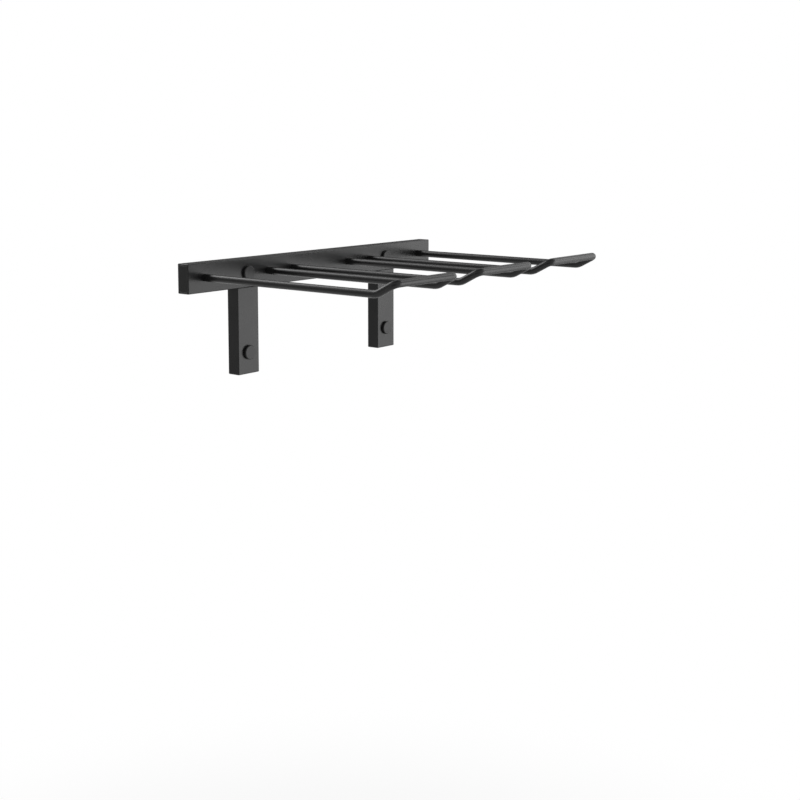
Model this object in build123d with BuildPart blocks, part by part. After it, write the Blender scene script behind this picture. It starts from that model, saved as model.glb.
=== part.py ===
from build123d import *
import os

# A hanging wine glass rack of welded steel. A level bar of rectangular tube lies against the wall,
# two short legs of the same tube hang below it, and three loops of bent round rod stand out from
# the bar's front, with an open slot between each pair and a raised lip at the far end. Screws go
# through the back of the tube, and push-in plugs close the wider holes in its front.
#
# Frame: +X runs along the bar, +Y points into the wall, +Z points up. The origin is on the wall's
# face, at the middle of the bar's length and of its height. Lengths are in millimetres.

os.makedirs("parts", exist_ok=True)

# Rectangular tube of the bar and the legs, with closed and chamfered ends
tube_height = 25.4
tube_depth = 12.7
tube_wall = 1.5
tube_edge_radius = 0.8
end_chamfer = 0.5
end_plate_thickness = 2.0

# Loops of bent rod
rod_diameter = 6.35
loop_width = 76.2
stem_gap = 25.4
loop_reach = 217.0
lip_run = 17.2
lip_rise = 9.0
lip_bend_inside = 11.0
corner_bend_inside = 1.5

# Bar and legs
end_margin = 19.05
rod_to_leg = 25.4
leg_length = 76.2

# Screw holes in the back of the tube, and the wider holes in its front that the screws pass
foot_to_screw = 19.05
screw_hole_diameter = 5.5
access_hole_diameter = 10.0

# Plugs in the front holes
plug_rim = 1.35
plug_height = 2.5
plug_chamfer = 0.5
neck_clearance = 0.15
barb_gap = 0.2
barb_overhang = 0.3
barb_length = 1.5
barb_taper = 0.9

# One overrun for every cut that runs out into open space
cut_overrun = 1.0

# Sizes and places that follow from the ones above
bore_height = tube_height - 2 * tube_wall
bore_depth = tube_depth - 2 * tube_wall
rod_radius = rod_diameter / 2
loop_pitch = loop_width + rod_diameter + stem_gap
loop_centres = {"left": -loop_pitch, "centre": 0, "right": loop_pitch}
bar_half_length = loop_pitch + loop_width / 2 + end_margin
bar_underside = -tube_height / 2
leg_centre = loop_pitch - loop_width / 2 + rod_to_leg
leg_bottom = bar_underside - leg_length
tube_middle = -tube_depth / 2
front_face = -tube_depth
lower_screw_height = leg_bottom + foot_to_screw
sides = {"left": -1, "right": 1}


def screw_holes(x, z):
    """Cuts the hole for a screw in the tube's back wall and the access hole in its front wall."""
    with Locations(Plane((x, 0, z), z_dir=(0, 1, 0))):
        Hole(screw_hole_diameter / 2, tube_wall + cut_overrun)
    with Locations(Plane((x, front_face, z), z_dir=(0, -1, 0))):
        Hole(access_hole_diameter / 2, tube_wall + cut_overrun)


# Wall bar: open tube with chamfered ends and a pair of holes over each leg
bar_ends = {
    side: Plane((sign * bar_half_length, tube_middle, 0), x_dir=(0, 1, 0), z_dir=(sign, 0, 0))
    for side, sign in sides.items()
}
with BuildPart() as wall_bar:
    with BuildSketch(bar_ends["right"]):
        RectangleRounded(tube_depth, tube_height, tube_edge_radius)
        Rectangle(bore_depth, bore_height, mode=Mode.SUBTRACT)
    extrude(amount=-2 * bar_half_length)
    for end_face in faces().sort_by(Axis.X)[0], faces().sort_by(Axis.X)[-1]:
        chamfer(end_face.outer_wire().edges(), end_chamfer)
    for sign in sides.values():
        screw_holes(sign * leg_centre, 0)
wall_bar.part.label = "wall_bar"
export_step(wall_bar.part, "parts/wall_bar.step")

# Plates that are welded into the bar's ends and ground flush
for side, end in bar_ends.items():
    with BuildPart() as bar_end:
        with BuildSketch(end):
            Rectangle(bore_depth, bore_height)
        extrude(amount=-end_plate_thickness)
    bar_end.part.label = f"bar_end_{side}"
    export_step(bar_end.part, f"parts/bar_end_{side}.step")

# Legs: the same tube stood on end and butted under the bar, with a like plate in its foot
for side, sign in sides.items():
    foot = Plane((sign * leg_centre, tube_middle, leg_bottom))
    with BuildPart() as leg:
        with BuildSketch(foot):
            RectangleRounded(tube_height, tube_depth, tube_edge_radius)
            Rectangle(bore_height, bore_depth, mode=Mode.SUBTRACT)
        extrude(amount=leg_length)
        chamfer(faces().sort_by(Axis.Z)[0].outer_wire().edges(), end_chamfer)
        screw_holes(sign * leg_centre, lower_screw_height)
    leg.part.label = f"leg_{side}"
    export_step(leg.part, f"parts/leg_{side}.step")

    with BuildPart() as leg_foot:
        with BuildSketch(foot):
            Rectangle(bore_height, bore_depth)
        extrude(amount=end_plate_thickness)
    leg_foot.part.label = f"leg_foot_{side}"
    export_step(leg_foot.part, f"parts/leg_foot_{side}.step")

# Rod loops: one rod each, butted on the bar's front, out to a raised lip and back again
lip_start = lip_run - loop_reach
lip_bend_radius = lip_bend_inside + rod_radius
corner_bend_radius = corner_bend_inside + rod_radius
for name, centre in loop_centres.items():
    left, right = centre - loop_width / 2, centre + loop_width / 2
    with BuildPart() as loop:
        with BuildLine():
            FilletPolyline(
                (left, front_face, 0),
                (left, lip_start, 0),
                (left, -loop_reach, lip_rise),
                (right, -loop_reach, lip_rise),
                (right, lip_start, 0),
                (right, front_face, 0),
                radius=[
                    lip_bend_radius,
                    corner_bend_radius,
                    corner_bend_radius,
                    lip_bend_radius,
                ],
            )
        with BuildSketch(Plane((left, front_face, 0), z_dir=(0, -1, 0))):
            Circle(rod_radius)
        sweep()
    loop.part.label = f"rod_loop_{name}"
    export_step(loop.part, f"parts/rod_loop_{name}.step")

# Plug: a round cap on the tube's front, with a neck whose barb snaps in behind the tube's wall
plug_radius = access_hole_diameter / 2 + plug_rim
neck_radius = access_hole_diameter / 2 - neck_clearance
barb_radius = access_hole_diameter / 2 + barb_overhang
barb_start = tube_wall + barb_gap
barb_end = barb_start + barb_length
with BuildPart() as plug:
    with BuildSketch():
        with BuildLine():
            Polyline(
                (0, -plug_height),
                (plug_radius - plug_chamfer, -plug_height),
                (plug_radius, plug_chamfer - plug_height),
                (plug_radius, 0),
                (neck_radius, 0),
                (neck_radius, barb_start),
                (barb_radius, barb_start),
                (barb_radius - barb_taper, barb_end),
                (0, barb_end),
                close=True,
            )
        make_face()
    revolve(axis=Axis.Y)

# Two plugs in the bar, and one in each leg
for name, height in {"bar_plugs": 0, "leg_plugs": lower_screw_height}.items():
    with BuildPart() as plugs:
        with Locations(*[(sign * leg_centre, front_face, height) for sign in sides.values()]):
            add(plug.part)
    plugs.part.label = name
    export_step(plugs.part, f"parts/{name}.step")
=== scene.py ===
import bpy
import math
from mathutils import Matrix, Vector


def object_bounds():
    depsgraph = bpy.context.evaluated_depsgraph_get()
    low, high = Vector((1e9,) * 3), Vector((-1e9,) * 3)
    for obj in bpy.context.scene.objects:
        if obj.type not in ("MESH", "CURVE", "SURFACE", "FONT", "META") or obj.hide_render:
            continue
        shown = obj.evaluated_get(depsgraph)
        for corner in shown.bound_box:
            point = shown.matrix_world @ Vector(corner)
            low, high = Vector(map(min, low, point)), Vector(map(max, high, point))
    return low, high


# The hanging wine glass rack in its finish: satin black powder coat on the tube and on the bent
# rod, and black moulded plugs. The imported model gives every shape. This script adds the materials,
# the light, the floor and the camera. Metres, +X along the bar, +Y into the wall, +Z up.

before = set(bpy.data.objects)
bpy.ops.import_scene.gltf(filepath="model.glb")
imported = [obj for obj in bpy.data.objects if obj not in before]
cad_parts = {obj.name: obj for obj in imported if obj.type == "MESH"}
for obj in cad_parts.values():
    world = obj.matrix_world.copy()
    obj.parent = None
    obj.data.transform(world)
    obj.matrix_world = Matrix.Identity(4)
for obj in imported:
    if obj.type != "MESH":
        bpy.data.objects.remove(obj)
cad_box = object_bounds()

# Camera, set to the photograph's view
CAMERA_PLACE = (-0.9302, -0.84446, 0.12294)
CAMERA_HEADING = math.radians(51.559)
CAMERA_PITCH = math.radians(6.6376)
CAMERA_LENS = 60.898
CAMERA_SENSOR = 36.0
CAMERA_SHIFT = -0.14
CAMERA_REACH = 50.0

# White surroundings, as the camera and the gloss see them, and the fill that they give as light
WHITE_LEVEL = 1.0
WORLD_FILL = 0.45

# Floor. It shows as plain white, less so near its middle, which paints a pool of shade under the
# object. The object's real shadow may also fall there, on the matt part that shows through.
FLOOR_DROP = 0.75
FLOOR_SIZE = 12.0
FLOOR_TONE = 0.9
FLOOR_WHITE_NEAR = 0.62
FLOOR_WHITE_FAR = 1.0
FLOOR_FADE_START = 0.25
FLOOR_FADE_END = 0.95

# Soft boxes. Each fills a range of bearings, in degrees from +Y towards +X, and of heights, in
# degrees above the level, as seen from the aim. A level is the brightness of a lamp's face, where
# the white surroundings are 1.
LAMP_AIM = (0.0, -0.1, 0.0)
LAMPS = {
    "lamp_front_right": {"bearings": (122, 154), "heights": (-25, 9), "reach": 1.9, "level": 2.75},
    "lamp_side_right": {"bearings": (106, 122), "heights": (-8, 40), "reach": 1.7, "level": 2.5},
    "lamp_above_behind": {"bearings": (-25, 10), "heights": (20, 57), "reach": 1.56, "level": 3.5},
}

# Cards that only the gloss sees. The grey ones keep the black coat from mirroring white all round.
# The two bright ones light the edge of the rising rods and the lower side of the raised lips. An
# upright card stands on the line from its start to its end, and a level one spans two corners.
CARD_FOOT = -0.8
UPRIGHT_CARDS = {
    "card_behind_left": {"start": (-4.0, 1.6), "end": (0.7, 1.6), "top": 1.0, "level": 0.55},
    "card_behind_right": {"start": (0.7, 1.6), "end": (4.0, 1.6), "top": 1.7, "level": 0.16},
    "card_low_behind": {"start": (0.6, 1.5), "end": (1.1, 1.5), "top": 0.6, "level": 1.5},
    "card_front_left": {"start": (-2.4, -0.6), "end": (-0.9, -2.3), "top": 0.9, "level": 0.42},
}
LEVEL_CARDS = {
    "card_below_front": {"low": (0.7, -1.3), "high": (2.2, -0.4), "height": -0.83, "level": 1.7},
    "card_below_right": {"low": (0.7, -0.4), "high": (3.0, 1.0), "height": -0.83, "level": 0.5},
    "card_overhead": {"low": (-1.4, -1.4), "high": (1.4, 0.5), "height": 1.8, "level": 0.4},
}

# Strength of the gloss on the coat and on the plastic
GLOSS_LEVEL = 0.26

# Powder coat: base tones, and the range of its roughness
COAT_DARK = (0.0098, 0.0098, 0.0100, 1.0)
COAT_PALE = (0.0128, 0.0128, 0.0130, 1.0)
COAT_EDGE = (0.0240, 0.0240, 0.0245, 1.0)
COAT_ROUGHNESS = (0.25, 0.31)
COAT_EDGE_ROUGHNESS = 0.22

# Powder coat: slow clouds of tone, the long ripple of flowed powder, the fine grain on it, and how
# far the look of a rounded edge reaches
COAT_CLOUD_SCALE = 38.0
COAT_RIPPLE_SCALE = 620.0
COAT_RIPPLE_DEPTH = 0.000024
COAT_GRAIN_SCALE = 3600.0
COAT_GRAIN_DEPTH = 0.0000035
COAT_EDGE_REACH = 0.0007

# Moulded plastic of the plugs, in the same terms
PLUG_DARK = (0.0105, 0.0105, 0.0108, 1.0)
PLUG_PALE = (0.0145, 0.0145, 0.0148, 1.0)
PLUG_EDGE = (0.0220, 0.0220, 0.0225, 1.0)
PLUG_ROUGHNESS = (0.32, 0.38)
PLUG_EDGE_ROUGHNESS = 0.27
PLUG_CLOUD_SCALE = 160.0
PLUG_RIPPLE_SCALE = 1500.0
PLUG_RIPPLE_DEPTH = 0.000008
PLUG_GRAIN_SCALE = 5200.0
PLUG_GRAIN_DEPTH = 0.0000045
PLUG_EDGE_REACH = 0.0006

# Octaves that each noise adds to its first
CLOUD_DETAIL = 4.0
RIPPLE_DETAIL = 2.0
GRAIN_DETAIL = 1.0

# The part of a noise's range that its values mostly fill
NOISE_RANGE = (0.3, 0.7)

# Relief shows at its full depth
RELIEF_STRENGTH = 1.0

# How far the cosine between the rounded and the true direction falls below 1 where a place counts
# wholly as an edge
EDGE_FULL = 0.25
EDGE_SAMPLES = 6


def grey(level):
    """An opaque neutral colour."""
    return (level, level, level, 1.0)


def add(tree, kind, inputs=None, **settings):
    """A new shader node with its settings and the values of its unlinked sockets."""
    made = tree.nodes.new(kind)
    for name, value in settings.items():
        setattr(made, name, value)
    for name, value in (inputs or {}).items():
        made.inputs[name].default_value = value
    return made


def seen_directly(tree):
    """1 for camera, glossy and transmission rays, and 0 for the rays that light things."""
    rays = add(tree, "ShaderNodeLightPath")
    seen = rays.outputs["Is Camera Ray"]
    for kind in ("Is Glossy Ray", "Is Transmission Ray"):
        either = add(tree, "ShaderNodeMath", operation="MAXIMUM")
        tree.links.new(seen, either.inputs[0])
        tree.links.new(rays.outputs[kind], either.inputs[1])
        seen = either.outputs[0]
    return seen


def mix_shaders(tree, share, first, second, output):
    """Links a mix of two shaders to the output, with the share that the second one has."""
    mix = add(tree, "ShaderNodeMixShader")
    tree.links.new(share, mix.inputs[0])
    tree.links.new(first.outputs[0], mix.inputs[1])
    tree.links.new(second.outputs[0], mix.inputs[2])
    tree.links.new(mix.outputs[0], output.inputs["Surface"])


def make_world():
    """Plain white in view and in reflections, and a weaker white as light."""
    world = bpy.data.worlds.new("white_surroundings")
    bpy.context.scene.world = world
    world.use_nodes = True
    tree = world.node_tree
    tree.nodes.clear()
    white = grey(1.0)
    fill = add(tree, "ShaderNodeBackground", {"Color": white, "Strength": WORLD_FILL})
    shown = add(tree, "ShaderNodeBackground", {"Color": white, "Strength": WHITE_LEVEL})
    mix_shaders(tree, seen_directly(tree), fill, shown, add(tree, "ShaderNodeOutputWorld"))


def make_sheet(name, corners):
    """A flat stage object with four corners, and the empty node tree of its material."""
    mesh = bpy.data.meshes.new(name)
    mesh.from_pydata(corners, [], [(0, 1, 2, 3)])
    sheet = bpy.data.objects.new(name, mesh)
    bpy.context.scene.collection.objects.link(sheet)
    material = bpy.data.materials.new(name)
    material.use_nodes = True
    material.node_tree.nodes.clear()
    mesh.materials.append(material)
    return sheet, material.node_tree


def make_floor():
    """A level matt floor, under a plain white in view that thins out near its middle into a painted
    pool of shade, where the real shadow on the matt part also shows.
    """
    half = FLOOR_SIZE / 2
    corners = [(-half, -half, 0), (half, -half, 0), (half, half, 0), (-half, half, 0)]
    floor, tree = make_sheet("floor", corners)
    floor.location.z = cad_box[0].z - FLOOR_DROP
    place = add(tree, "ShaderNodeTexCoord")
    distance = add(tree, "ShaderNodeVectorMath", operation="LENGTH")
    # Less white towards the middle: painted shade under the object, with the real shadow of the matt
    # part showing through.
    painted_shade_fade = add(
        tree,
        "ShaderNodeMapRange",
        {
            "From Min": FLOOR_FADE_START,
            "From Max": FLOOR_FADE_END,
            "To Min": FLOOR_WHITE_NEAR,
            "To Max": FLOOR_WHITE_FAR,
        },
        interpolation_type="SMOOTHSTEP",
    )
    share = add(tree, "ShaderNodeMath", operation="MULTIPLY")
    tree.links.new(place.outputs["Object"], distance.inputs[0])
    tree.links.new(distance.outputs["Value"], painted_shade_fade.inputs["Value"])
    tree.links.new(painted_shade_fade.outputs["Result"], share.inputs[0])
    tree.links.new(seen_directly(tree), share.inputs[1])
    matt = add(tree, "ShaderNodeBsdfDiffuse", {"Color": grey(FLOOR_TONE)})
    white = add(tree, "ShaderNodeEmission", {"Strength": WHITE_LEVEL})
    mix_shaders(tree, share.outputs[0], matt, white, add(tree, "ShaderNodeOutputMaterial"))


def make_card(name, corners, level):
    """A plain card that shows in the object's gloss alone."""
    card, tree = make_sheet(name, corners)
    glow = add(tree, "ShaderNodeEmission", {"Color": grey(level)})
    output = add(tree, "ShaderNodeOutputMaterial")
    tree.links.new(glow.outputs[0], output.inputs["Surface"])
    card.visible_camera = False
    card.visible_diffuse = False
    card.visible_shadow = False
    card.visible_transmission = False


def make_cards():
    for name, card in UPRIGHT_CARDS.items():
        start, end = card["start"], card["end"]
        corners = [(*start, CARD_FOOT), (*end, CARD_FOOT), (*end, card["top"]), (*start, card["top"])]
        make_card(name, corners, card["level"])
    for name, card in LEVEL_CARDS.items():
        (left, front), (right, back) = card["low"], card["high"]
        flat = [(left, front), (right, front), (right, back), (left, back)]
        make_card(name, [(x, y, card["height"]) for x, y in flat], card["level"])


def middle_and_half(limits):
    """The middle and the half width, in radians, of a range in degrees."""
    low, high = map(math.radians, limits)
    return (low + high) / 2, (high - low) / 2


def make_lamps():
    """The soft boxes. Each faces the aim and fills its ranges, and the camera doesn't see it."""
    for name, lamp in LAMPS.items():
        bearing, half_across = middle_and_half(lamp["bearings"])
        height, half_up = middle_and_half(lamp["heights"])
        level_part = math.cos(height)
        way = Vector((math.sin(bearing) * level_part, math.cos(bearing) * level_part, math.sin(height)))
        data = bpy.data.lights.new(name, "AREA")
        data.shape = "RECTANGLE"
        data.size = 2 * lamp["reach"] * math.tan(half_across)
        data.size_y = 2 * lamp["reach"] * math.tan(half_up)
        data.energy = lamp["level"] * math.pi * data.size * data.size_y
        made = bpy.data.objects.new(name, data)
        bpy.context.scene.collection.objects.link(made)
        made.location = Vector(LAMP_AIM) + lamp["reach"] * way
        made.rotation_euler = (-way).to_track_quat("-Z", "Y").to_euler()
        made.visible_camera = False


def make_camera():
    data = bpy.data.cameras.new("camera")
    data.sensor_width = CAMERA_SENSOR
    data.lens = CAMERA_LENS
    data.shift_y = CAMERA_SHIFT
    data.clip_end = CAMERA_REACH
    camera = bpy.data.objects.new("camera", data)
    bpy.context.scene.collection.objects.link(camera)
    camera.location = CAMERA_PLACE
    camera.rotation_euler = (math.pi / 2 - CAMERA_PITCH, 0, -CAMERA_HEADING)
    bpy.context.scene.camera = camera


def noise(tree, coordinates, scale, detail):
    """Soft noise at the given coordinates."""
    made = add(tree, "ShaderNodeTexNoise", {"Scale": scale, "Detail": detail})
    tree.links.new(coordinates, made.inputs["Vector"])
    return made.outputs["Fac"]


def ramp(tree, value, source, target):
    """Maps a value from the source range to the target range, and holds it there."""
    limits = {"From Min": source[0], "From Max": source[1], "To Min": target[0], "To Max": target[1]}
    made = add(tree, "ShaderNodeMapRange", limits)
    tree.links.new(value, made.inputs["Value"])
    return made.outputs["Result"]


def mix_colours(tree, share, first, second):
    """A colour between two. Each of them is a plain value or another node's output."""
    made = add(tree, "ShaderNodeMix", data_type="RGBA")
    sockets = {socket.identifier: socket for socket in made.inputs}
    tree.links.new(share, sockets["Factor_Float"])
    for key, colour in (("A_Color", first), ("B_Color", second)):
        if isinstance(colour, tuple):
            sockets[key].default_value = colour
        else:
            tree.links.new(colour, sockets[key])
    return next(socket for socket in made.outputs if socket.identifier == "Result_Color")


def mix_values(tree, share, first, second):
    """A value between another node's output and a plain one."""
    made = add(tree, "ShaderNodeMix", data_type="FLOAT")
    sockets = {socket.identifier: socket for socket in made.inputs}
    tree.links.new(share, sockets["Factor_Float"])
    tree.links.new(first, sockets["A_Float"])
    sockets["B_Float"].default_value = second
    return next(socket for socket in made.outputs if socket.identifier == "Result_Float")


def rounded_edges(tree, reach):
    """The surface direction with its sharp edges rounded, and how far a place is on an edge."""
    rounded = add(tree, "ShaderNodeBevel", {"Radius": reach}, samples=EDGE_SAMPLES)
    true = add(tree, "ShaderNodeNewGeometry")
    likeness = add(tree, "ShaderNodeVectorMath", operation="DOT_PRODUCT")
    tree.links.new(rounded.outputs[0], likeness.inputs[0])
    tree.links.new(true.outputs["Normal"], likeness.inputs[1])
    edge = ramp(tree, likeness.outputs["Value"], (1.0 - EDGE_FULL, 1.0), (1.0, 0.0))
    return rounded.outputs[0], edge


def relief(tree, height, depth, normal):
    """A bump of a real depth in metres over the given surface direction."""
    made = add(tree, "ShaderNodeBump", {"Strength": RELIEF_STRENGTH, "Distance": depth})
    tree.links.new(height, made.inputs["Height"])
    tree.links.new(normal, made.inputs["Normal"])
    return made.outputs[0]


def make_finish(name, tones, roughness, edge_roughness, cloud_scale, ripple, grain, edge_reach):
    """A dark satin finish: clouds of tone and gloss, paler edges, and a ripple under a fine grain."""
    dark, pale, edge_tone = tones
    material = bpy.data.materials.new(name)
    material.use_nodes = True
    tree = material.node_tree
    shader = tree.nodes["Principled BSDF"]
    shader.inputs["Specular IOR Level"].default_value = GLOSS_LEVEL
    place = add(tree, "ShaderNodeTexCoord").outputs["Object"]
    cloud = noise(tree, place, cloud_scale, CLOUD_DETAIL)
    even = ramp(tree, cloud, NOISE_RANGE, (0.0, 1.0))
    rounded, edge = rounded_edges(tree, edge_reach)
    colour = mix_colours(tree, edge, mix_colours(tree, even, dark, pale), edge_tone)
    gloss = ramp(tree, cloud, NOISE_RANGE, roughness)
    ripple_scale, ripple_depth = ripple
    grain_scale, grain_depth = grain
    rippled = relief(tree, noise(tree, place, ripple_scale, RIPPLE_DETAIL), ripple_depth, rounded)
    grained = relief(tree, noise(tree, place, grain_scale, GRAIN_DETAIL), grain_depth, rippled)
    tree.links.new(colour, shader.inputs["Base Color"])
    tree.links.new(mix_values(tree, edge, gloss, edge_roughness), shader.inputs["Roughness"])
    tree.links.new(grained, shader.inputs["Normal"])
    return material


def powder_coat(name):
    return make_finish(
        name,
        tones=(COAT_DARK, COAT_PALE, COAT_EDGE),
        roughness=COAT_ROUGHNESS,
        edge_roughness=COAT_EDGE_ROUGHNESS,
        cloud_scale=COAT_CLOUD_SCALE,
        ripple=(COAT_RIPPLE_SCALE, COAT_RIPPLE_DEPTH),
        grain=(COAT_GRAIN_SCALE, COAT_GRAIN_DEPTH),
        edge_reach=COAT_EDGE_REACH,
    )


def moulded_plastic(name):
    return make_finish(
        name,
        tones=(PLUG_DARK, PLUG_PALE, PLUG_EDGE),
        roughness=PLUG_ROUGHNESS,
        edge_roughness=PLUG_EDGE_ROUGHNESS,
        cloud_scale=PLUG_CLOUD_SCALE,
        ripple=(PLUG_RIPPLE_SCALE, PLUG_RIPPLE_DEPTH),
        grain=(PLUG_GRAIN_SCALE, PLUG_GRAIN_DEPTH),
        edge_reach=PLUG_EDGE_REACH,
    )


make_world()
make_floor()
make_cards()
make_lamps()
make_camera()

tube_finish = powder_coat("tube_coat")
rod_finish = powder_coat("rod_coat")
plug_finish = moulded_plastic("plug_plastic")
for name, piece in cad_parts.items():
    if name.endswith("plugs"):
        finish = plug_finish
    elif name.startswith("rod_loop"):
        finish = rod_finish
    else:
        finish = tube_finish
    for slot in piece.material_slots:
        slot.material = finish

bpy.context.scene.view_settings.view_transform = "Standard"
